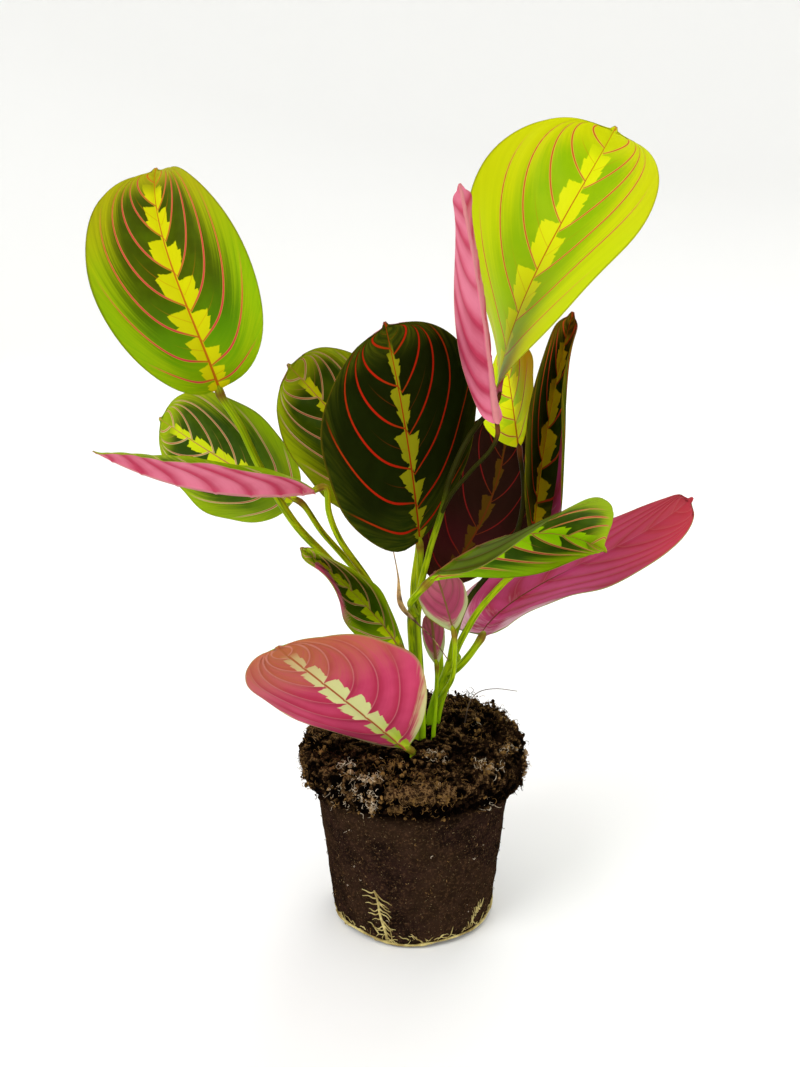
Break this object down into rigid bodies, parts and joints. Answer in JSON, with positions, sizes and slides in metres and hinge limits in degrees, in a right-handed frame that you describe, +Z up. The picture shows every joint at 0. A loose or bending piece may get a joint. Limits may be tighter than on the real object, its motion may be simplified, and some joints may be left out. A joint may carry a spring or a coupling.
{
  "type": "prayer plant with bare root ball",
  "caption": "Prayer plant lifted out of its pot: patterned green leaves with red veins and pink undersides on lime stalks, standing on a soil root ball.",
  "frame": {"origin": "centre of the root ball's flat bottom, on the surface it stands on", "axes": "+Z up along the stalks, +X to the right and +Y away from the side with the low front leaf"},
  "size_m": [0.2243, 0.1153, 0.3139],
  "materials": {
    "soil": "matte crumbly potting soil bound by fibres",
    "leaf_green": "satin leaf, green to lime with red veins",
    "leaf_dark": "satin leaf, very dark green with red veins",
    "leaf_underside": "satin leaf seen from its pink underside",
    "stalk": "smooth satin green stalk",
    "dry_sheath": "dull dry brown",
    "root": "matte pale root"
  },
  "bodies": {
    "root": {"root_ball": "soil", "leaf_left_top": "leaf_green", "leaf_left_middle": "leaf_green", "leaf_left_low": "leaf_green", "leaf_middle_back": "leaf_green", "leaf_top_large": "leaf_green", "leaf_front_spread": "leaf_green", "leaf_right_small": "leaf_green", "leaf_middle_dark": "leaf_dark", "leaf_right_maroon": "leaf_dark", "leaf_right_upright": "leaf_dark", "leaf_left_folded": "leaf_underside", "leaf_top_folded": "leaf_underside", "leaf_right_spread": "leaf_underside", "leaf_young": "leaf_underside", "leaf_bud": "leaf_underside", "leaf_front_low": "leaf_underside", "shoot_left": "stalk", "shoot_middle": "stalk", "shoot_right": "stalk", "stalk_bud": "stalk", "stalk_front": "stalk", "dried_sheath": "dry_sheath", "root_feather": "root", "roots_ring": "root", "hair_root": "root"}
  },
  "joints": []
}
